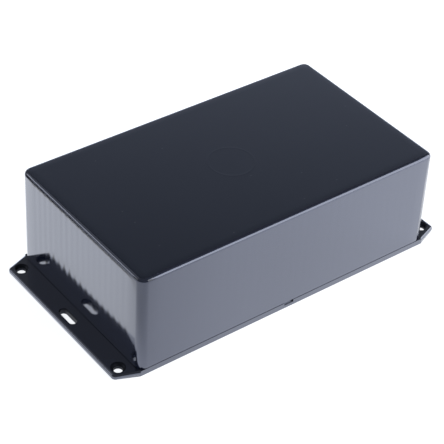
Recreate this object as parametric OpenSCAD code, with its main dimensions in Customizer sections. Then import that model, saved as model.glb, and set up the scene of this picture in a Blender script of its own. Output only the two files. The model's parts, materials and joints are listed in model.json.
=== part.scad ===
// Flanged plastic project box: a deep ribbed moulding that stands mouth down on a lid with
// mounting flanges. Four countersunk screws come up through the lid into brass inserts.
// Origin: middle of the lid's underside. +X runs along the box, +Z points up. Millimetres.

/* [Box body] */
// Length of the body at its rim
body_l = 190.6; // [120:0.2:260]
// Width of the body at its rim
body_w = 109.6; // [80:0.2:160]
// Height of the whole box, lid included
overall_h = 61; // [40:1:120]
// Thickness of the side walls
wall = 2.3; // [1.6:0.1:4]
// Thickness of the closed face
top_t = 2.5; // [1.6:0.1:5]
// Radius of the four upright corners at the rim
corner_r = 4.8; // [4:0.1:10]
// Radius of the edge round the closed face
top_edge_r = 2.1; // [0.5:0.1:2.5]
// Lean of each wall, for release from the mould
draft_deg = 0.25; // [0:0.05:1]
// Depth and height of the rebate that makes the shadow line above the lid
seam_size = 0.25; // [0.1:0.05:0.6]

/* [Card guides] */
// Distance from one card slot to the next
guide_pitch = 5.08; // [3.5:0.01:10]
// Width of the slot that a circuit board slides in
slot_w = 2.1; // [1.2:0.1:3]
// How far the guide ribs stand in from the wall
guide_depth = 1.5; // [0.8:0.1:3]
// Distance from the lid up to the open ends of the guides
guide_start = 7; // [4:0.5:20]

/* [Screw posts] */
// Distance from the outside of the rim to each screw's axis
post_inset = 6.3; // [5.6:0.1:10]
// Diameter of a screw post
post_d = 9.6; // [8:0.1:14]
// Outer diameter of a threaded insert, over its knurls
insert_d = 5.6; // [5:0.1:6.4]
// Length of a threaded insert
insert_l = 8; // [4:0.5:12]
// Spare depth below an insert for the screw's tip
tip_room = 4; // [3:0.5:10]

/* [Board standoffs] */
// Distance from the inside of an end wall to a standoff's axis
standoff_inset_x = 16.8; // [12:0.1:40]
// Distance from the inside of a long wall to a standoff's axis
standoff_inset_y = 14.4; // [8:0.1:30]
// Diameter of a standoff
standoff_d = 6.4; // [5:0.1:8]
// Height of a standoff above the closed face
standoff_h = 4.8; // [2:0.1:10]
// Diameter of its hole for a self-tapping screw
standoff_hole_d = 2.4; // [1.5:0.1:3]

/* [Lid and flanges] */
// How far the lid stands out past the body's long sides
lid_ledge = 0.2; // [0:0.05:1]
// Thickness of the lid and its flanges
lid_t = 3.3; // [2.8:0.1:6]
// How far each flange reaches past the body's end
flange_reach = 12.7; // [11:0.1:20]
// How much a flange narrows on each side by its outer end
flange_narrowing = 4.8; // [1:0.1:8]
// Distance from the body's end wall back to where a flange starts to narrow
taper_back = 0.8; // [0:0.1:3]
// Corner radius of a flange
flange_corner_r = 2.6; // [1.5:0.1:6]
// Radius of a flange's upper edge
flange_edge_r = 1.4; // [0.3:0.1:1.5]
// Radius of its lower edge, at the outer end
flange_foot_r = 1.2; // [0.3:0.1:1.3]
// Height of the lip that locates the lid inside the body
lip_h = 2; // [1:0.1:4]
// Thickness of that lip
lip_t = 1.5; // [1:0.1:3]
// Gap between the lip and what it fits inside
lip_gap = 0.2; // [0.1:0.05:0.5]
// Width of the notch in each long edge for prising the lid off
pry_w = 6; // [3:0.5:12]
// Height of that notch
pry_h = 1.4; // [0.8:0.1:2]
// Depth of that notch
pry_depth = 1.2; // [0.5:0.1:2]

/* [Mounting holes] */
// Distance from a flange's outer end to the middle of its holes and slot
hole_end_gap = 5.8; // [5:0.1:6.5]
// Distance from a flange's narrow end, on each side, to the middle of a hole
hole_side_gap = 4.2; // [3.5:0.1:10]
// Diameter of a mounting hole
hole_d = 4.8; // [3:0.1:5.5]
// Diameter of its countersink at the flange's upper face
hole_sink_d = 8; // [6:0.1:9]
// Width of an end slot
end_slot_w = 4.2; // [4:0.1:6]
// Length of an end slot, over its round ends
end_slot_l = 12.8; // [8:0.1:24]
// Bevel round its upper rim
end_slot_bevel = 0.4; // [0.1:0.1:0.8]

/* [Lid screws] */
// Thread diameter of a lid screw
screw_d = 3.5; // [3:0.1:4]
// Length of a lid screw, head included
screw_l = 12.7; // [10:0.1:16]
// Diameter of its head
screw_head_d = 7; // [6:0.1:7.6]
// Width across the cross recess in its head
recess_d = 4; // [2.5:0.1:5]
// Depth of that recess
recess_depth = 1.5; // [0.8:0.1:2]
// Thickness of the recess's arms
recess_arm = 0.9; // [0.5:0.1:1.5]
// Bevel at the screw's tip
tip_bevel = 0.5; // [0.2:0.1:1]
// How far the head sits below the lid's underside
head_sunk = 0.15; // [0.05:0.05:0.4]
// Radial gap round the screw in the lid's hole
screw_gap = 0.2; // [0.1:0.05:0.5]

/* [Hidden] */
$fn = 48;
body_h = overall_h - lid_t;
cavity_top = overall_h - top_t;
lean = tan(draft_deg);
inner_l = body_l - 2 * wall;
inner_w = body_w - 2 * wall;
inner_r = corner_r - wall;
inner_edge_r = top_edge_r / 2;
screw_x = body_l / 2 - post_inset;
screw_y = body_w / 2 - post_inset;
lid_w = body_w + 2 * lid_ledge;
flange_l = body_l + 2 * flange_reach;
flange_end_w = lid_w - 2 * flange_narrowing;
hole_x = flange_l / 2 - hole_end_gap;
hole_y = flange_end_w / 2 - hole_side_gap;
// Guides keep clear of the screw posts, and both rows are centred.
guide_w = guide_pitch - slot_w;
guide_root = wall / 2;
guides_along = floor(2 * (screw_x - post_d / 2 - guide_w) / guide_pitch);
guides_across = floor(2 * (screw_y - post_d / 2 - guide_w) / guide_pitch);
// The flange's sloping side, from where it starts to the end of the flange.
taper_x = body_l / 2 - taper_back;
taper_run = flange_l / 2 - taper_x;
taper_deg = atan(flange_narrowing / taper_run);
hole_sink_h = (hole_sink_d - hole_d) / 2;
thread_gap = 0.05;
insert_gap = 0.02;
knurl_n = 24;
knurl_depth = 0.25;
waist_l = insert_l / 5;
least_r = 0.3; // the smallest radius that an upright corner is given
sliver = 0.01; // height of the thin disc that stands for a hull's foot
joint = 0.5; // how far added features sink into the wall that carries them
cut = 1; // how far a cutter runs past the face that it opens

// Puts its children at all four combinations of +-x and +-y.
module at_corners(x, y) {
    for (sx = [-1, 1], sy = [-1, 1]) translate([sx * x, sy * y, 0]) children();
}

// A disc, as thick as the radius of its round upper edge.
module soft_disc(r, edge) {
    rotate_extrude() intersection() {
        translate([r - edge, 0]) circle(r = edge, $fn = 32);
        square([r, edge]);
    }
}

// What one upright corner gives to a block's hull: a foot of radius r0 at z0, and at z1 a disc
// of radius r1 with a round upper edge.
module block_corner(r0, r1, edge, z0, z1) {
    translate([0, 0, z0]) cylinder(h = sliver, r = r0);
    translate([0, 0, z1 - edge]) soft_disc(r1, edge);
}

// A rounded block whose walls lean in as they rise, with a round edge at its top.
module leaning_block(l, w, r, edge, z0, z1) {
    r_top = r - (z1 - z0) * lean;
    hull() at_corners(l / 2 - r, w / 2 - r) block_corner(r, r_top, min(edge, r_top), z0, z1);
}

// One row of guide ribs along X, its roots sunk in the wall at y = -reach.
module guide_row(count, reach) {
    for (i = [0 : count]) translate([(i - count / 2) * guide_pitch, 0])
        translate([-guide_w / 2, -reach - guide_root]) square([guide_w, guide_root + guide_depth]);
}

module card_guides() {
    z0 = lid_t + guide_start;
    translate([0, 0, z0]) linear_extrude(cavity_top + joint - z0) for (turn = [0, 180]) rotate(turn) {
        guide_row(guides_along, inner_w / 2);
        rotate(90) guide_row(guides_across, inner_l / 2);
    }
}

module screw_post_walls() {
    at_corners(screw_x, screw_y) translate([0, 0, lid_t])
        cylinder(h = cavity_top + joint - lid_t, d = post_d);
}

module screw_post_bores() {
    at_corners(screw_x, screw_y) {
        translate([0, 0, lid_t - cut]) cylinder(h = cut + insert_l, d = insert_d + 2 * insert_gap);
        translate([0, 0, lid_t]) cylinder(h = insert_l + tip_room, d = screw_d + 2 * screw_gap);
    }
}

module standoffs() {
    at_corners(inner_l / 2 - standoff_inset_x, inner_w / 2 - standoff_inset_y)
        translate([0, 0, cavity_top - standoff_h]) difference() {
            cylinder(h = standoff_h + joint, d = standoff_d);
            translate([0, 0, -cut]) cylinder(h = cut + standoff_h, d = standoff_hole_d);
        }
}

// The strip that is taken off the outside of the rim for the shadow line.
module seam_rebate() {
    difference() {
        translate([0, 0, lid_t + (seam_size - cut) / 2])
            cube([body_l + 2 * cut, body_w + 2 * cut, seam_size + cut], center = true);
        translate([0, 0, lid_t - 2 * cut]) linear_extrude(seam_size + 4 * cut)
            rounded_outline(body_l - 2 * seam_size, body_w - 2 * seam_size, corner_r - seam_size);
    }
}

// A rectangle with round corners, from bars and discs so that its arcs stay true.
module rounded_outline(l, w, r) {
    square([l - 2 * r, w], center = true);
    square([l, w - 2 * r], center = true);
    at_corners(l / 2 - r, w / 2 - r) circle(r = r);
}

module box_body() {
    color([0.1, 0.105, 0.12]) difference() {
        union() {
            difference() {
                leaning_block(body_l, body_w, corner_r, top_edge_r, lid_t, overall_h);
                leaning_block(inner_l, inner_w, inner_r, inner_edge_r, lid_t - cut, cavity_top);
            }
            intersection() {
                union() {
                    card_guides();
                    screw_post_walls();
                    standoffs();
                }
                translate([0, 0, lid_t]) linear_extrude(body_h)
                    rounded_outline(body_l - wall, body_w - wall, corner_r - wall / 2);
            }
        }
        screw_post_bores();
        seam_rebate();
    }
}

// The flange at the +X end. Its inner corners lie under the body and stand on a square edge.
module flange() {
    end_x = flange_l / 2 - flange_corner_r;
    end_y = lid_w / 2 - (flange_corner_r + (end_x - taper_x) * sin(taper_deg)) / cos(taper_deg);
    hull() for (s = [-1, 1]) {
        translate([end_x, s * end_y, lid_t - flange_edge_r]) soft_disc(flange_corner_r, flange_edge_r);
        translate([end_x, s * end_y, flange_foot_r]) mirror([0, 0, 1])
            soft_disc(flange_corner_r, flange_foot_r);
        translate([taper_x, s * (lid_w / 2 - flange_edge_r), 0])
            block_corner(flange_edge_r, flange_edge_r, flange_edge_r, 0, lid_t);
    }
}

// The locating lip: a ring inside the body's rim that makes way for the screw posts.
module lip() {
    l = inner_l - 2 * lip_gap;
    w = inner_w - 2 * lip_gap;
    r = max(inner_r - lip_gap, least_r);
    translate([0, 0, lid_t - joint]) linear_extrude(joint + lip_h) difference() {
        rounded_outline(l, w, r);
        rounded_outline(l - 2 * lip_t, w - 2 * lip_t, max(r - lip_t, least_r));
        at_corners(screw_x, screw_y) circle(d = post_d + 2 * lip_gap);
        at_corners(inner_l / 2, inner_w / 2) square(2 * post_inset, center = true);
    }
}

module slot_outline() {
    straight = end_slot_l - end_slot_w;
    square([end_slot_w, straight], center = true);
    for (s = [-1, 1]) translate([0, s * straight / 2]) circle(d = end_slot_w);
}

module end_slot() {
    translate([0, 0, -cut]) linear_extrude(lid_t + 2 * cut) slot_outline();
    translate([0, 0, lid_t - end_slot_bevel]) hull() {
        linear_extrude(sliver) slot_outline();
        translate([0, 0, end_slot_bevel]) linear_extrude(sliver)
            offset(r = end_slot_bevel) slot_outline();
    }
}

module mounting_hole() {
    translate([0, 0, -cut]) cylinder(h = lid_t + 2 * cut, d = hole_d);
    translate([0, 0, lid_t - hole_sink_h]) cylinder(h = hole_sink_h, d1 = hole_d, d2 = hole_sink_d);
    translate([0, 0, lid_t]) cylinder(h = cut, d = hole_sink_d);
}

// The hole for a lid screw: its cone is the screw head's own cone.
module lid_screw_hole() {
    hole_r = screw_d / 2 + screw_gap;
    mouth_r = screw_head_d / 2 + head_sunk;
    translate([0, 0, -cut]) cylinder(h = lid_t + 2 * cut, r = hole_r);
    cylinder(h = mouth_r - hole_r, r1 = mouth_r, r2 = hole_r);
    translate([0, 0, -cut]) cylinder(h = cut, r = mouth_r);
}

module flanged_lid() {
    color([0.1, 0.105, 0.12]) difference() {
        union() {
            translate([-taper_x, -lid_w / 2, 0]) cube([2 * taper_x, lid_w, lid_t]);
            for (turn = [0, 180]) rotate(turn) flange();
            lip();
        }
        at_corners(hole_x, hole_y) mounting_hole();
        for (s = [-1, 1]) translate([s * hole_x, 0, 0]) end_slot();
        at_corners(screw_x, screw_y) lid_screw_hole();
        for (s = [-1, 1]) translate([-pry_w / 2, s * lid_w / 2 - pry_depth, lid_t - pry_h])
            cube([pry_w, 2 * pry_depth, pry_h + cut]);
    }
}

// A cross for the driver, deepest in the middle.
module driver_recess() {
    intersection() {
        cylinder(h = recess_depth, d1 = recess_d, d2 = recess_d / 3);
        for (turn = [0, 90]) rotate(turn)
            translate([-recess_d, -recess_arm / 2, 0]) cube([2 * recess_d, recess_arm, recess_depth]);
    }
}

module lid_screw() {
    shank_r = screw_d / 2;
    cone_h = screw_head_d / 2 - shank_r;
    translate([0, 0, head_sunk]) difference() {
        union() {
            cylinder(h = cone_h, r1 = screw_head_d / 2, r2 = shank_r);
            cylinder(h = screw_l - tip_bevel, r = shank_r);
            translate([0, 0, screw_l - tip_bevel])
                cylinder(h = tip_bevel, r1 = shank_r, r2 = shank_r - tip_bevel);
        }
        driver_recess();
    }
}

module lid_screws() {
    color([0.55, 0.56, 0.58]) at_corners(screw_x, screw_y) lid_screw();
}

// Straight-knurled outline of the two gripping bands.
module knurl_outline() {
    polygon([for (i = [0 : 2 * knurl_n - 1])
        (insert_d / 2 - (i % 2) * knurl_depth) * [cos(i * 180 / knurl_n), sin(i * 180 / knurl_n)]]);
}

module threaded_insert() {
    band_l = (insert_l - waist_l) / 2;
    difference() {
        union() {
            for (z = [0, insert_l - band_l]) translate([0, 0, z]) linear_extrude(band_l) knurl_outline();
            cylinder(h = insert_l, r = insert_d / 2 - 2 * knurl_depth);
        }
        translate([0, 0, -cut]) cylinder(h = insert_l + 2 * cut, r = screw_d / 2 + thread_gap);
    }
}

module threaded_inserts() {
    color([0.78, 0.6, 0.28]) at_corners(screw_x, screw_y) translate([0, 0, lid_t]) threaded_insert();
}

box_body();
flanged_lid();
lid_screws();
threaded_inserts();
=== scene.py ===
# Dresses the flanged plastic box: polished black walls, a finely grained closed face,
# steel screws and brass inserts, on a white studio floor.
import bpy
import json
import math
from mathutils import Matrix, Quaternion, Vector

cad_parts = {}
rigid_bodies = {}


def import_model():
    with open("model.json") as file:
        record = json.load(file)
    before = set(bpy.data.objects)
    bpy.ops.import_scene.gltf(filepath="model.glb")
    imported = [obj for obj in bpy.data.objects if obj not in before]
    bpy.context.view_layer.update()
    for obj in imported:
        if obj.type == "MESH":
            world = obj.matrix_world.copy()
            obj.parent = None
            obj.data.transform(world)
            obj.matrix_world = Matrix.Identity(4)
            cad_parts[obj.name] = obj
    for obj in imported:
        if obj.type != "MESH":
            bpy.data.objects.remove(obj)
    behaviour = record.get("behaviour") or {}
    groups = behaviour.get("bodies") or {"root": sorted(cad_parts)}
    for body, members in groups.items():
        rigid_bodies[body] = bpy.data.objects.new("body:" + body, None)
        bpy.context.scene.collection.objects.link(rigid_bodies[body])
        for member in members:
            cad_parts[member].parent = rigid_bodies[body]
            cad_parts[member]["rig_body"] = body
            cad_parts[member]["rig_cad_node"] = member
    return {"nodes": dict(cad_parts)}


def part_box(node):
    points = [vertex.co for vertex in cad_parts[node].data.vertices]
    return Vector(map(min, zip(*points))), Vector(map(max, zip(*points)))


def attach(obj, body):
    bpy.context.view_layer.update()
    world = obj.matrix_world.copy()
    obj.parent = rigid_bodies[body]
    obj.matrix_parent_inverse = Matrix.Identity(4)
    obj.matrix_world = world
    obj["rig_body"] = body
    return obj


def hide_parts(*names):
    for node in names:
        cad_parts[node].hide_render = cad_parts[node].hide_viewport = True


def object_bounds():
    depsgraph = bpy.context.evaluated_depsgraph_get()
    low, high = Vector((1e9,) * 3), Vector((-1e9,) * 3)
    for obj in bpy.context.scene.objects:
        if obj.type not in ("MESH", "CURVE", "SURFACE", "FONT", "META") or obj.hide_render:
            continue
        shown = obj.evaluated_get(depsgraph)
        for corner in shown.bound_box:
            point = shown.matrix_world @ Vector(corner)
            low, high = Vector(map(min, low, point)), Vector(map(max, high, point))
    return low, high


mm = 0.001
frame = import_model()
cadLow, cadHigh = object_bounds()
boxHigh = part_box("box_body")[1]
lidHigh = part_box("flanged_lid")[1]
print("frame loaded, box", [round(v / mm, 1) for v in cadHigh - cadLow], "mm")


def workOn(piece):
    bpy.ops.object.select_all(action="DESELECT")
    piece.select_set(True)
    bpy.context.view_layer.objects.active = piece


# how a CAD node's triangles become one mesh, in millimetres and degrees
merging = {"gap": 0.002, "flatAngle": 0.05, "smoothAngle": 32, "normalWeight": 80}


def copyOfNode(nodeName, pieceName):
    workOn(frame["nodes"][nodeName])
    bpy.ops.object.duplicate()
    piece = bpy.context.object
    piece.name = pieceName
    piece.parent = None
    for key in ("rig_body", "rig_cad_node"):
        del piece[key]
    bpy.ops.object.mode_set(mode="EDIT")
    bpy.ops.mesh.select_all(action="SELECT")
    bpy.ops.mesh.remove_doubles(threshold=merging["gap"] * mm)
    bpy.ops.mesh.dissolve_limited(angle_limit=math.radians(merging["flatAngle"]))
    bpy.ops.object.mode_set(mode="OBJECT")
    return piece


def shadeSmooth(piece):
    # soft over the fillets, sharp at the true edges
    workOn(piece)
    bpy.ops.object.shade_smooth_by_angle(angle=math.radians(merging["smoothAngle"]))
    weighted = piece.modifiers.new("weightedNormal", "WEIGHTED_NORMAL")
    weighted.keep_sharp = True
    weighted.weight = merging["normalWeight"]
    bpy.ops.object.modifier_apply(modifier=weighted.name)


def dressNode(nodeName, pieceName, materials, finishOf):
    # a merged copy of a CAD node, each face with the material that its place asks for
    piece = copyOfNode(nodeName, pieceName)
    shadeSmooth(piece)
    piece.data.materials.clear()
    for material in materials:
        piece.data.materials.append(material)
    for face in piece.data.polygons:
        face.material_index = finishOf(face)
    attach(piece, "root")
    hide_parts(nodeName)
    print(pieceName, "has", len(piece.data.polygons), "faces")


def feed(tree, socket, value):
    # another node's output is linked to the socket, a number or a colour is set on it
    if isinstance(value, bpy.types.NodeSocket):
        tree.links.new(value, socket)
    else:
        socket.default_value = value


def addNode(tree, kind, **values):
    node = tree.nodes.new(kind)
    for label, value in values.items():
        feed(tree, node.inputs[label], value)
    return node


def addMath(tree, operation, *values):
    node = tree.nodes.new("ShaderNodeMath")
    node.operation = operation
    for socket, value in zip(node.inputs, values):
        feed(tree, socket, value)
    return node.outputs[0]


def addProduct(tree, first, *others):
    for value in others:
        first = addMath(tree, "MULTIPLY", first, value)
    return first


def addVectorMath(tree, operation, *values):
    node = tree.nodes.new("ShaderNodeVectorMath")
    node.operation = operation
    for socket, value in zip(node.inputs, values):
        feed(tree, socket, value)
    return node.outputs


def addRamp(tree, value, start, end, low=0.0, high=1.0):
    # a smooth change from low at start to high at end
    node = tree.nodes.new("ShaderNodeMapRange")
    node.interpolation_type = "SMOOTHSTEP"
    for label, number in (("Value", value), ("From Min", start), ("From Max", end),
                          ("To Min", low), ("To Max", high)):
        feed(tree, node.inputs[label], number)
    return node.outputs[0]


def addSwell(tree, share, angle):
    # a cosine over this angle, raised to run from 1 down to 0
    wave = addMath(tree, "COSINE", addMath(tree, "MULTIPLY", share, angle))
    return addMath(tree, "MULTIPLY_ADD", wave, 0.5, 0.5)


def addColorMix(tree, share, first, second):
    node = tree.nodes.new("ShaderNodeMix")
    node.data_type = "RGBA"
    feed(tree, node.inputs["Factor"], share)
    colors = [socket for socket in node.inputs if socket.type == "RGBA"]
    for socket, value in zip(colors, (first, second)):
        feed(tree, socket, value)
    return next(socket for socket in node.outputs if socket.type == "RGBA")


def newGroup(name, settings, results):
    # a tuple makes a colour socket, a number a plain one
    group = bpy.data.node_groups.new(name, "ShaderNodeTree")
    add = group.interface.new_socket
    add("Vector", in_out="INPUT", socket_type="NodeSocketVector")
    for label, value in settings.items():
        kind = "NodeSocketColor" if isinstance(value, tuple) else "NodeSocketFloat"
        add(label, in_out="INPUT", socket_type=kind).default_value = value
    for label in results:
        kind = "NodeSocketColor" if label == "Color" else "NodeSocketFloat"
        add(label, in_out="OUTPUT", socket_type=kind)
    given = group.nodes.new("NodeGroupInput").outputs
    made = group.nodes.new("NodeGroupOutput").inputs
    return group, given, made


def placeGroup(tree, group, place, values):
    node = tree.nodes.new("ShaderNodeGroup")
    node.node_tree = group
    feed(tree, node.inputs["Vector"], place)
    for label, value in values.items():
        feed(tree, node.inputs[label], value)
    return node.outputs


def makeGrainGroup():
    # fine moulding grain, as a height, and a slow drift of the roughness
    group, given, made = newGroup(
        "mouldGrain",
        {"Grain Size": 0.3, "Depth": 0.004, "Roughness": 0.2, "Drift": 0.03, "Drift Scale": 45.0},
        ("Height", "Roughness"))
    scale = addMath(group, "DIVIDE", 1 / mm, given["Grain Size"])
    grain = addNode(group, "ShaderNodeTexNoise", Vector=given["Vector"], Scale=scale, Detail=3.0)
    slow = addNode(group, "ShaderNodeTexNoise", Vector=given["Vector"],
                   Scale=given["Drift Scale"], Detail=2.0)
    feed(group, made["Height"], addProduct(group, grain.outputs[0], mm, given["Depth"]))
    middled = addMath(group, "SUBTRACT", slow.outputs[0], 0.5)
    feed(group, made["Roughness"],
         addMath(group, "MULTIPLY_ADD", middled, given["Drift"], given["Roughness"]))
    return group


def makeSinkGroup():
    # hollows in a wall's skin where the ribs behind it shrank, each a little different
    group, given, made = newGroup(
        "ribSinks",
        {"Pitch": 5.08, "Depth": 0.02, "Foot": 0.01, "Foot Fade": 3 * mm,
         "Half Length": 0.095, "Half Width": 0.055, "Corner Room": 0.011,
         "Phase Along": 0.5, "Phase Across": 0.0, "Least Share": 0.6, "Random Share": 0.8,
         "Near Share": 0.35, "Full Share At": 0.3}, ("Height",))
    place = addNode(group, "ShaderNodeSeparateXYZ", Vector=given["Vector"]).outputs
    pitch = addMath(group, "MULTIPLY", given["Pitch"], mm)
    rows = []
    for axis, reach, phase in (("X", "Half Length", "Phase Along"),
                               ("Y", "Half Width", "Phase Across")):
        turns = addMath(group, "ADD", addMath(group, "DIVIDE", place[axis], pitch), given[phase])
        hollow = addSwell(group, turns, 2 * math.pi)
        chance = group.nodes.new("ShaderNodeTexWhiteNoise")
        chance.noise_dimensions = "1D"
        feed(group, chance.inputs["W"], addMath(group, "ROUND", turns))
        share = addMath(group, "MULTIPLY_ADD", chance.outputs["Value"],
                        given["Random Share"], given["Least Share"])
        inside = addMath(group, "LESS_THAN", addMath(group, "ABSOLUTE", place[axis]),
                         addMath(group, "SUBTRACT", given[reach], given["Corner Room"]))
        rows.append(addProduct(group, hollow, share, inside))
    above = addRamp(group, place["Z"], given["Foot"],
                    addMath(group, "ADD", given["Foot"], given["Foot Fade"]))
    # deeper towards the back wall
    near = addMath(group, "MULTIPLY", given["Half Width"], -1.0)
    far = addMath(group, "MULTIPLY", given["Half Width"], given["Full Share At"])
    back = addRamp(group, place["Y"], near, far, given["Near Share"])
    depth = addMath(group, "MULTIPLY", given["Depth"], -mm)
    feed(group, made["Height"],
         addProduct(group, addMath(group, "ADD", *rows), back, above, depth))
    return group


def makeFallGroup():
    # a slow fall of upright walls towards their corners, of end walls towards their
    # rounded top, or of a level face towards its edges
    group, given, made = newGroup(
        "slowFall",
        {"Half Length": 0.095, "Half Width": 0.055, "Width": 0.012, "Slope": 0.1,
         "Top": 0.06, "Top Depth": 0.12, "Rim Foot": 3.3 * mm, "Rim Head": 0.8 * mm},
        ("Corner Height", "Edge Height", "Top Height"))
    place = addNode(group, "ShaderNodeSeparateXYZ", Vector=given["Vector"]).outputs
    shares = []
    for axis, reach in (("X", "Half Length"), ("Y", "Half Width")):
        start = addMath(group, "SUBTRACT", given[reach], given["Width"])
        past = addMath(group, "SUBTRACT", addMath(group, "ABSOLUTE", place[axis]), start)
        share = addMath(group, "DIVIDE", addMath(group, "MAXIMUM", past, 0.0), given["Width"])
        shares.append(addMath(group, "MULTIPLY", share, share))
    drop = addProduct(group, given["Slope"], -0.5, given["Width"])
    for label, operation in (("Corner Height", "MULTIPLY"), ("Edge Height", "ADD")):
        both = addMath(group, operation, *shares)
        feed(group, made[label], addMath(group, "MULTIPLY", both, drop))
    rim = addRamp(group, place["Z"], addMath(group, "SUBTRACT", given["Top"], given["Rim Foot"]),
                  addMath(group, "SUBTRACT", given["Top"], given["Rim Head"]))
    topDepth = addMath(group, "MULTIPLY", given["Top Depth"], -mm)
    feed(group, made["Top Height"], addProduct(group, rim, shares[0], topDepth))
    return group


def makeRingGroup():
    # a shallow moulded ring round the middle of a face
    group, given, made = newGroup(
        "mouldRing", {"Radius": 12.5, "Half Width": 0.8, "Depth": 0.02}, ("Height",))
    flat = addVectorMath(group, "MULTIPLY", given["Vector"], (1 / mm, 1 / mm, 0))["Vector"]
    length = addVectorMath(group, "LENGTH", flat)["Value"]
    away = addMath(group, "ABSOLUTE", addMath(group, "SUBTRACT", length, given["Radius"]))
    share = addMath(group, "MINIMUM", addMath(group, "DIVIDE", away, given["Half Width"]), 1.0)
    rise = addSwell(group, share, math.pi)
    feed(group, made["Height"], addProduct(group, rise, given["Depth"], mm))
    return group


def makeDustGroup():
    # a few pale specks of dust on a level face
    group, given, made = newGroup(
        "dustSpecks",
        {"Base": (0.0, 0.0, 0.0, 1.0), "Dust": (0.06, 0.065, 0.08, 1.0), "Spacing": 12.0,
         "Share": 0.1, "Speck Size": 0.4}, ("Color",))
    cells = group.nodes.new("ShaderNodeTexVoronoi")
    cells.voronoi_dimensions = "2D"
    feed(group, cells.inputs["Vector"], given["Vector"])
    feed(group, cells.inputs["Scale"], addMath(group, "DIVIDE", 1 / mm, given["Spacing"]))
    draw = addNode(group, "ShaderNodeSeparateColor", Color=cells.outputs["Color"])
    picked = addMath(group, "LESS_THAN", draw.outputs[0], given["Share"])
    reach = addMath(group, "DIVIDE", given["Speck Size"], given["Spacing"])
    fade = addMath(group, "SUBTRACT", 1.0,
                   addMath(group, "DIVIDE", cells.outputs["Distance"], reach))
    amount = addMath(group, "MULTIPLY", picked, addMath(group, "MAXIMUM", fade, 0.0))
    feed(group, made["Color"], addColorMix(group, amount, given["Base"], given["Dust"]))
    return group


grainGroup = makeGrainGroup()
ringGroup = makeRingGroup()
dustGroup = makeDustGroup()
sinkGroup = makeSinkGroup()
fallGroup = makeFallGroup()
print("node groups ready")


def newMaterial(name, look):
    material = bpy.data.materials.new(name)
    material.use_nodes = True
    tree = material.node_tree
    place = tree.nodes.new("ShaderNodeTexCoord").outputs["Object"]
    shader = tree.nodes["Principled BSDF"]
    shader.inputs["Base Color"].default_value = (*look["color"], 1)
    grain = placeGroup(tree, grainGroup, place, {
        "Grain Size": look["grainSize"], "Depth": look["grainDepth"],
        "Roughness": look["roughness"], "Drift": look["drift"]})
    feed(tree, shader.inputs["Roughness"], grain["Roughness"])
    return material, tree, shader, place, grain["Height"]


def addBump(tree, shader, height):
    # heights are in metres, so they are taken as they are
    bump = addNode(tree, "ShaderNodeBump", Strength=1.0, Distance=1.0, Height=height)
    feed(tree, shader.inputs["Normal"], bump.outputs[0])


def makePlastic(name, look, *marks, dust=None):
    # each mark is a group, its values, and the outputs that shape the surface
    material, tree, shader, place, height = newMaterial(name, look)
    shader.inputs["IOR"].default_value = look["ior"]
    shader.inputs["Specular Tint"].default_value = (*look["tint"], 1)
    shader.inputs["Coat Weight"].default_value = look["coat"]
    shader.inputs["Coat Roughness"].default_value = look["coatRoughness"]
    for group, values, labels in marks:
        outputs = placeGroup(tree, group, place, values)
        for label in labels:
            height = addMath(tree, "ADD", height, outputs[label])
    if dust:
        specks = placeGroup(tree, dustGroup, place, {"Base": (*look["color"], 1), **dust})
        feed(tree, shader.inputs["Base Color"], specks["Color"])
    addBump(tree, shader, height)
    return material


# black plastic as it leaves a fine mould, and as it leaves a polished one
mouldedPlastic = {"tint": (0.68, 0.75, 1.0), "drift": 0.03, "coat": 0.0, "coatRoughness": 0.1}
polishedPlastic = {**mouldedPlastic, "ior": 2.3, "roughness": 0.11, "drift": 0.02, "coat": 1.0,
                   "coatRoughness": 0.09, "grainSize": 2.2, "grainDepth": 0.0015}

# grains, depths, pitch, ring and dust in millimetres
boxHalf = {"Half Length": boxHigh.x, "Half Width": boxHigh.y}
boxShell = {
    "wall": {**polishedPlastic, "color": (0.012, 0.018, 0.047)},
    "face": {**mouldedPlastic, "color": (0.007, 0.0105, 0.022), "ior": 1.5, "roughness": 0.38,
             "grainSize": 0.35, "grainDepth": 0.006},
    "sinks": {"Pitch": 5.08, "Depth": 0.05, "Foot": lidHigh.z + 5 * mm, **boxHalf},
    "wallFall": {"Width": 12 * mm, "Slope": 0.22, "Top": boxHigh.z, "Top Depth": 0.2, **boxHalf},
    "faceFall": {"Width": 6 * mm, "Slope": 0.07, **boxHalf},
    "ring": {"Radius": 12.5, "Half Width": 0.9, "Depth": 0.025},
    "dust": {"Spacing": 12.0, "Share": 0.1, "Speck Size": 0.5},
    "levelNormal": 0.99, "faceDepth": 0.1}


def makeBody():
    wall = makePlastic("polishedWall", boxShell["wall"],
                       (sinkGroup, boxShell["sinks"], ("Height",)),
                       (fallGroup, boxShell["wallFall"], ("Corner Height", "Top Height")))
    face = makePlastic("grainedFace", boxShell["face"],
                       (fallGroup, boxShell["faceFall"], ("Edge Height",)),
                       (ringGroup, boxShell["ring"], ("Height",)), dust=boxShell["dust"])

    def finishOf(polygon):
        # 1 on the closed face, 0 everywhere else
        level = polygon.normal.z > boxShell["levelNormal"]
        return int(level and polygon.center.z > boxHigh.z - boxShell["faceDepth"] * mm)

    dressNode("box_body", "boxShell", (wall, face), finishOf)


# finishes, and where the lid's duller faces lie, in millimetres
lidPlate = {
    "plate": {**polishedPlastic, "color": (0.013, 0.0155, 0.025), "ior": 2.45},
    "bore": {**mouldedPlastic, "color": (0.014, 0.016, 0.022), "ior": 1.45, "roughness": 0.5,
             "grainSize": 0.5, "grainDepth": 0.004},
    "notch": {"ior": 2.0, "roughness": 0.35},
    "mountingHole": {"endGap": 5.8, "sideGap": 9.0, "reach": 3.9},
    "endSlot": {"endGap": 5.8, "halfWidth": 2.6, "halfLength": 6.9, "levelNormal": 0.9},
    "prisingNotch": {"halfWidth": 3.1, "depth": 1.3, "inset": 0.1, "foot": 1.5}}


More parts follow.
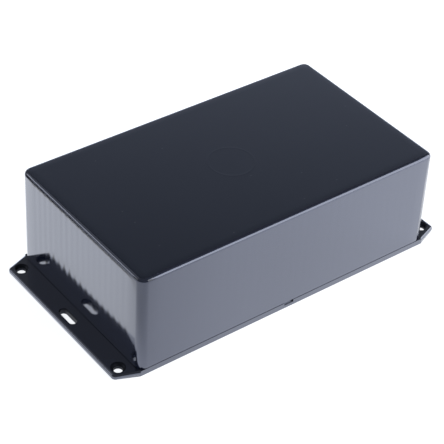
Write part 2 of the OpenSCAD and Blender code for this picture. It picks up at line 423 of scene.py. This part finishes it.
def makeLid():
    plate = makePlastic("polishedLid", lidPlate["plate"])
    bore = makePlastic("dullBore", lidPlate["bore"])
    notch = makePlastic("dullNotch", {**lidPlate["bore"], **lidPlate["notch"]})
    hole, slot, recess = lidPlate["mountingHole"], lidPlate["endSlot"], lidPlate["prisingNotch"]

    def finishOf(polygon):
        # 1 in the mounting holes and end slots, 2 in the prising notches, 0 everywhere else
        x, y = abs(polygon.center.x), abs(polygon.center.y)
        fromEnd, fromSide = (lidHigh.x - x) / mm, (lidHigh.y - y) / mm
        inHole = math.hypot(fromEnd - hole["endGap"], fromSide - hole["sideGap"]) < hole["reach"]
        inSlot = (abs(fromEnd - slot["endGap"]) < slot["halfWidth"]
                  and y / mm < slot["halfLength"]
                  and abs(polygon.normal.z) < slot["levelNormal"])
        inNotch = (x / mm < recess["halfWidth"] and polygon.center.z / mm > recess["foot"]
                   and recess["inset"] < fromSide < recess["depth"])
        return 1 if inHole or inSlot else 2 if inNotch else 0

    dressNode("flanged_lid", "lidPlate", (plate, bore, notch), finishOf)


plainMetal = {"drift": 0.1, "grainSize": 0.2, "grainDepth": 0.002}
fasteners = {
    "lid_screws": ("screwSteel", {**plainMetal, "color": (0.58, 0.59, 0.61), "roughness": 0.28}),
    "threaded_inserts": ("insertBrass",
                         {**plainMetal, "color": (0.78, 0.58, 0.27), "roughness": 0.3})}


def finishFasteners():
    for nodeName, (materialName, look) in fasteners.items():
        material, tree, shader, place, height = newMaterial(materialName, look)
        shader.inputs["Metallic"].default_value = 1.0
        addBump(tree, shader, height)
        node = frame["nodes"][nodeName]
        node.data.materials.clear()
        node.data.materials.append(material)


makeBody()
makeLid()
finishFasteners()
print("pieces dressed")


# in metres and degrees; a sweep is a start, an end, and the strength at each
studio = {
    "floorRadius": 6.0, "floorSides": 96, "floorGap": 0.1 * mm,
    "glow": (0.95, 0.97, 1.0), "cameraGlow": 0.9, "worldGlow": 0.12,
    "sweepAngle": 38.8,  # the level way, from +X, that the mirrored floor brightens
    # painted reflection: how the floor's glow, seen only in reflections, rises along that way
    "endSweep": (-0.155, -0.082, 0.3, 1.0),
    "frontSweep": (-0.17, -0.05, 0.3, 0.74), "frontRise": (-0.05, 0.04, 0.0, 0.11),
    "sideSweep": (0.0, 0.03),  # across that way, from the front wall's floor to the end wall's
    # painted shade: past the left end the floor's colour is darker, so the end wall mirrors a
    # dark floor
    "leftSweep": (0.139, 0.15), "leftReach": (-0.13, -0.108),  # darker past the left end
    "leftShadeColor": 0.03, "leftLift": 0.16}


def addAlong(tree, place, angle):
    # distance along a level way that is turned from +X by this angle
    way = (math.cos(math.radians(angle)), math.sin(math.radians(angle)), 0)
    return addVectorMath(tree, "DOT_PRODUCT", place, way)["Value"]


def addPaintedReflectionGlow(tree, place):
    # painted reflection: a glow on the floor that only the polished walls mirror, dimming towards
    # the near corner
    along = addAlong(tree, place, studio["sweepAngle"])
    across = addAlong(tree, place, studio["sweepAngle"] + 90)
    front = addMath(tree, "ADD", addRamp(tree, along, *studio["frontSweep"]),
                    addRamp(tree, along, *studio["frontRise"]))
    glow = addNode(tree, "ShaderNodeMix", A=front, B=addRamp(tree, along, *studio["endSweep"]),
                   Factor=addRamp(tree, across, *studio["sideSweep"]))
    return glow.outputs["Result"]


def addPaintedLeftShade(tree, place):
    # the share of painted shade past the left end, a darker floor that the end wall mirrors
    left = addRamp(tree, addAlong(tree, place, 180), *studio["leftSweep"])
    behind = addRamp(tree, addAlong(tree, place, studio["sweepAngle"]), *studio["leftReach"])
    return addMath(tree, "MULTIPLY", left, behind)


def addFloorGlow(tree, place, paintedShade, shadedFloorTone):
    # as seen by the camera, or as mirrored in the box
    ray = tree.nodes.new("ShaderNodeLightPath").outputs
    reflected = addMath(tree, "MAXIMUM", ray["Is Glossy Ray"], ray["Is Transmission Ray"])
    # painted reflection: reflected rays see the floor's graded glow
    mirrored = addProduct(tree, reflected, shadedFloorTone, addPaintedReflectionGlow(tree, place))
    # the camera's glow is raised over the painted shade, so the camera still sees a white floor
    shown = addMath(tree, "MULTIPLY_ADD", paintedShade, studio["leftLift"], studio["cameraGlow"])
    shown = addMath(tree, "MULTIPLY", ray["Is Camera Ray"], shown)
    glow = addNode(tree, "ShaderNodeEmission", Color=(*studio["glow"], 1),
                   Strength=addMath(tree, "MAXIMUM", shown, mirrored))
    return glow.outputs[0]


def makeFloorMaterial():
    material = bpy.data.materials.new("studioWhite")
    material.use_nodes = True
    tree = material.node_tree
    tree.nodes.clear()
    place = tree.nodes.new("ShaderNodeTexCoord").outputs["Object"]
    paintedShade = addPaintedLeftShade(tree, place)
    # painted shade: the floor's colour falls towards the shade colour past the left end, and its
    # mirrored glow with it
    shadedFloorTone = addMath(tree, "MULTIPLY_ADD", paintedShade, studio["leftShadeColor"] - 1, 1.0)
    diffuse = addNode(tree, "ShaderNodeBsdfDiffuse", Color=shadedFloorTone)
    both = tree.nodes.new("ShaderNodeAddShader")
    feed(tree, both.inputs[0], diffuse.outputs[0])
    feed(tree, both.inputs[1], addFloorGlow(tree, place, paintedShade, shadedFloorTone))
    # seen from below, the floor is clear
    side = tree.nodes.new("ShaderNodeMixShader")
    feed(tree, side.inputs[0], tree.nodes.new("ShaderNodeNewGeometry").outputs["Backfacing"])
    feed(tree, side.inputs[1], both.outputs[0])
    feed(tree, side.inputs[2], tree.nodes.new("ShaderNodeBsdfTransparent").outputs[0])
    addNode(tree, "ShaderNodeOutputMaterial", Surface=side.outputs[0])
    return material


def makeFloor():
    bpy.ops.object.select_all(action="DESELECT")
    bpy.ops.mesh.primitive_circle_add(
        radius=studio["floorRadius"], vertices=studio["floorSides"], fill_type="NGON",
        location=(0, 0, cadLow.z - studio["floorGap"]))
    floor = bpy.context.object
    floor.name = "studioFloor"
    floor.data.materials.append(makeFloorMaterial())


def makeWorld():
    world = bpy.data.worlds.new("studioAir")
    bpy.context.scene.world = world
    world.use_nodes = True
    tree = world.node_tree
    background = tree.nodes["Background"]
    seen = tree.nodes.new("ShaderNodeLightPath").outputs["Is Camera Ray"]
    color = addColorMix(tree, seen, (*studio["glow"], 1), (1, 1, 1, 1))
    feed(tree, background.inputs["Color"], color)
    feed(tree, background.inputs["Strength"],
         addMath(tree, "MAXIMUM", seen, studio["worldGlow"]))


# degrees round from the front and up, metres from the middle of the lid's underside, watts
lamps = {
    "rightLamp": {"azimuth": 52, "elevation": 25, "distance": 1.7, "size": (2.3, 1.3),
                  "power": 19.5, "color": (1, 1, 1)},
    "backLeftLamp": {"azimuth": 226, "elevation": 20, "distance": 1.7, "size": (0.9, 0.5),
                     "power": 1.8, "color": (1, 1, 1)},
    "backLeftFill": {"azimuth": 219, "elevation": 44, "distance": 2.0, "size": (1.6, 1.2),
                     "power": 0.9, "color": (1, 1, 1)},
    "backGlow": {"azimuth": 141, "elevation": 18, "distance": 2.2, "size": (2.4, 0.7),
                 "power": 13, "color": (0.75, 0.83, 1.0)}}


def wayTo(settings):
    # the direction from the box to a lamp or the camera
    a, e = math.radians(settings["azimuth"]), math.radians(settings["elevation"])
    return Vector((math.sin(a) * math.cos(e), -math.cos(a) * math.cos(e), math.sin(e)))


def makeLamps():
    for name, settings in lamps.items():
        way = wayTo(settings)
        bpy.ops.object.light_add(type="AREA", location=way * settings["distance"])
        lamp = bpy.context.object
        lamp.name = name
        lamp.data.shape = "RECTANGLE"
        lamp.data.size, lamp.data.size_y = settings["size"]
        lamp.data.energy = settings["power"]
        lamp.data.color = settings["color"]
        lamp.rotation_mode = "QUATERNION"
        lamp.rotation_quaternion = (-way).to_track_quat("-Z", "Y")


makeFloor()
makeWorld()
makeLamps()
print("studio ready")


# degrees, metres from the box's middle, and a lens and sensor in millimetres
view = {"azimuth": -39.013, "elevation": 38.248, "roll": 3.347, "distance": 0.86542,
        "lens": 130.71, "sensor": 36, "aimOffset": (-0.00531, -0.00181, -0.00653)}


def makeCamera():
    way = wayTo(view)
    aim = (cadLow + cadHigh) / 2 + Vector(view["aimOffset"])
    bpy.ops.object.camera_add(location=aim + way * view["distance"])
    camera = bpy.context.object
    camera.data.lens = view["lens"]
    camera.data.sensor_width = view["sensor"]
    camera.rotation_mode = "QUATERNION"
    roll = Quaternion((0, 0, 1), math.radians(view["roll"]))
    camera.rotation_quaternion = way.to_track_quat("Z", "Y") @ roll
    bpy.context.scene.camera = camera


makeCamera()
bpy.context.scene.view_settings.view_transform = "Standard"
print("camera ready")
